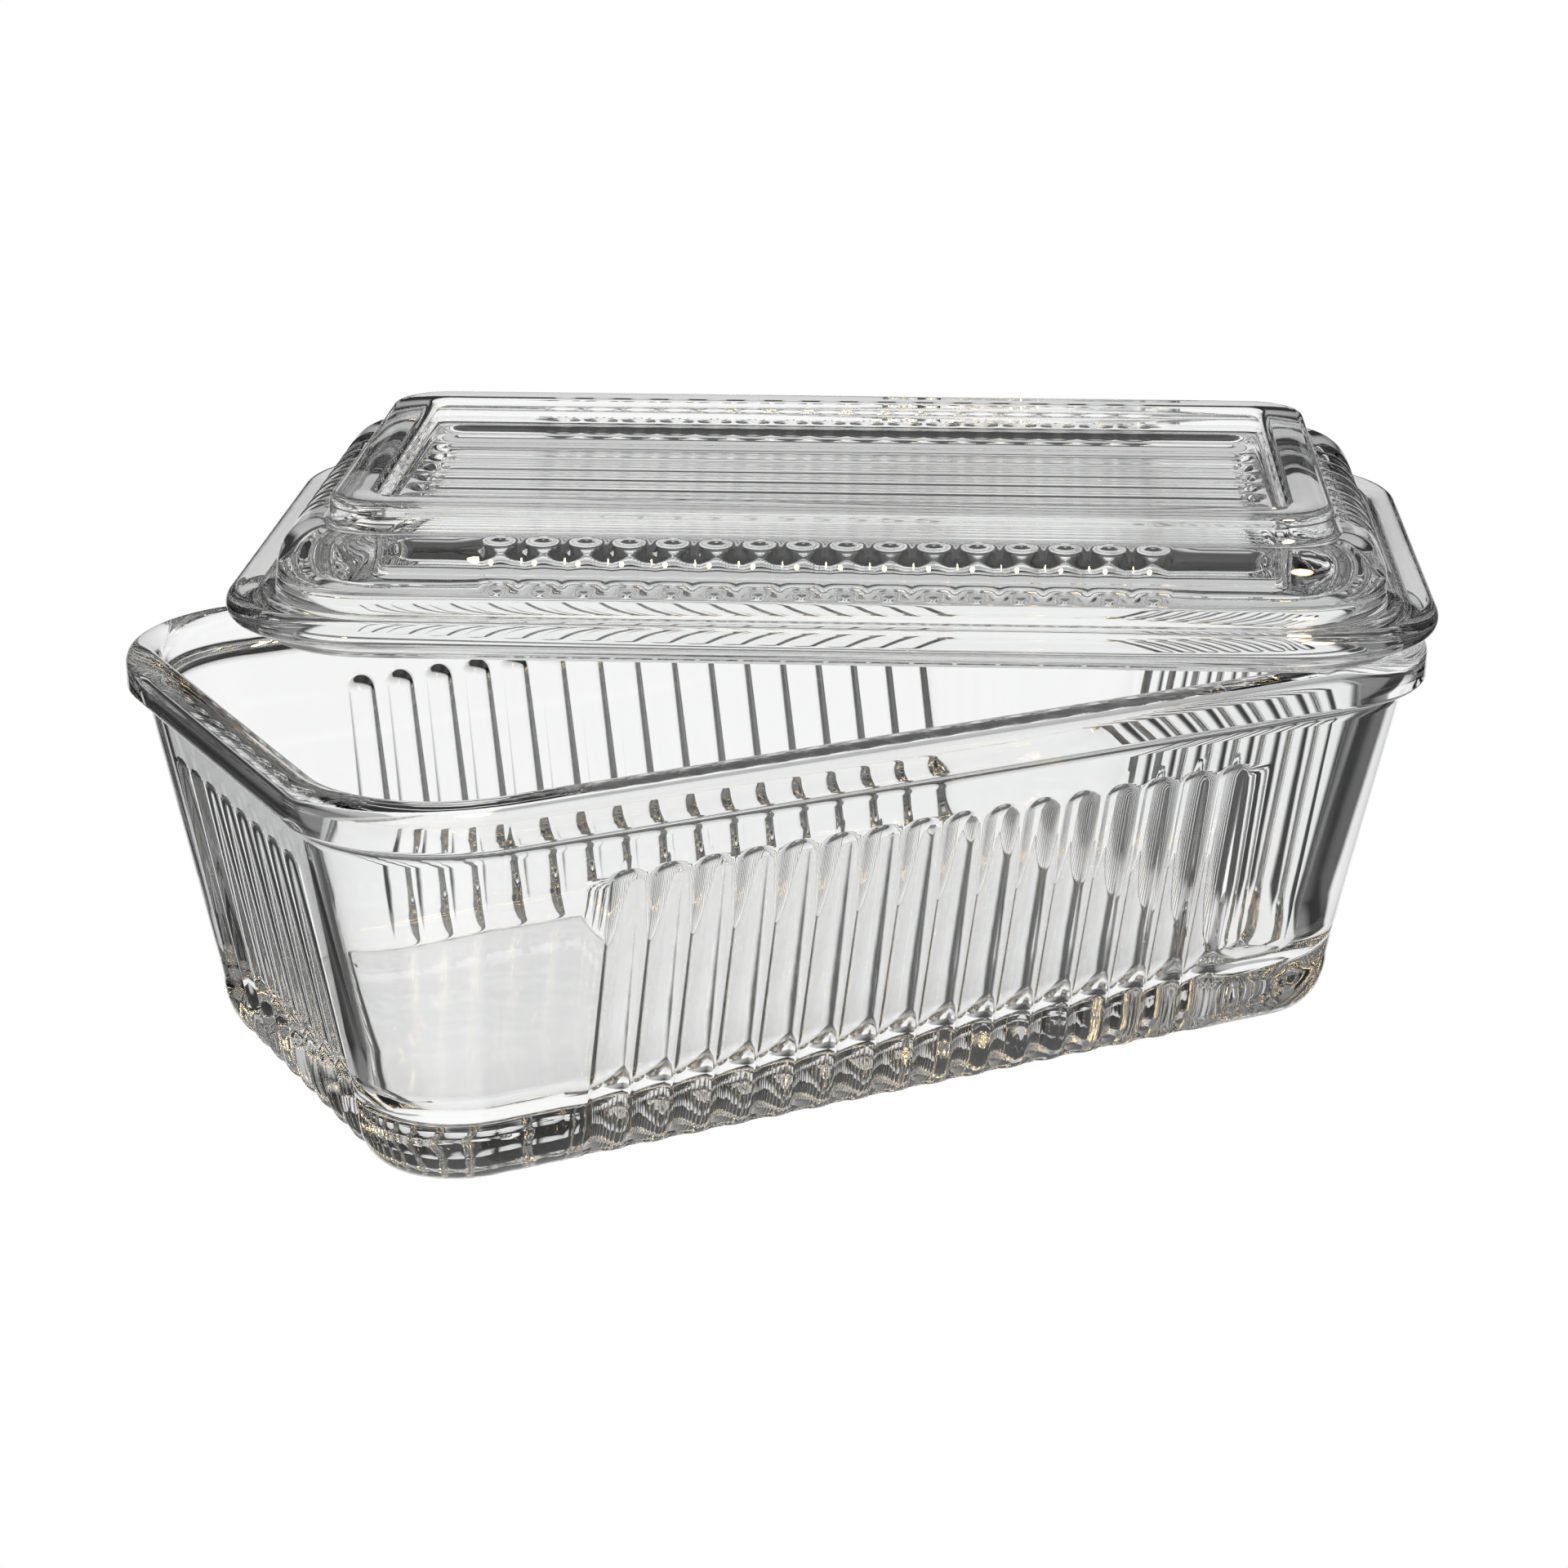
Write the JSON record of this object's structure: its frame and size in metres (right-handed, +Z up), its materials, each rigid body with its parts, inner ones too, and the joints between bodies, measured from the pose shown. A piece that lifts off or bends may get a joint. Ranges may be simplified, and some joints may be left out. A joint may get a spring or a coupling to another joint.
{
  "type": "butter dish",
  "caption": "Clear pressed-glass butter dish: a deep fluted rectangular tub with a rolled rim, and a loose low-domed lid lying askew on the rim.",
  "frame": {"origin": "centre of the dish's flat underside, on the surface that it stands on", "axes": "+Z up, +X along the dish's long side, +Y to the back of the dish"},
  "size_m": [0.1972, 0.159, 0.0762],
  "materials": {
    "dish_glass": "clear, fire-polished pressed glass",
    "lid_glass": "clear, fire-polished pressed glass"
  },
  "bodies": {
    "dish": {"dish": "dish_glass"},
    "lid": {"lid": "lid_glass"}
  },
  "joints": [
    {"name": "lid_lift", "type": "slide", "parent": "dish", "child": "lid", "axis": [0, 0, 1], "range_m": [0, 0.1]}
  ]
}
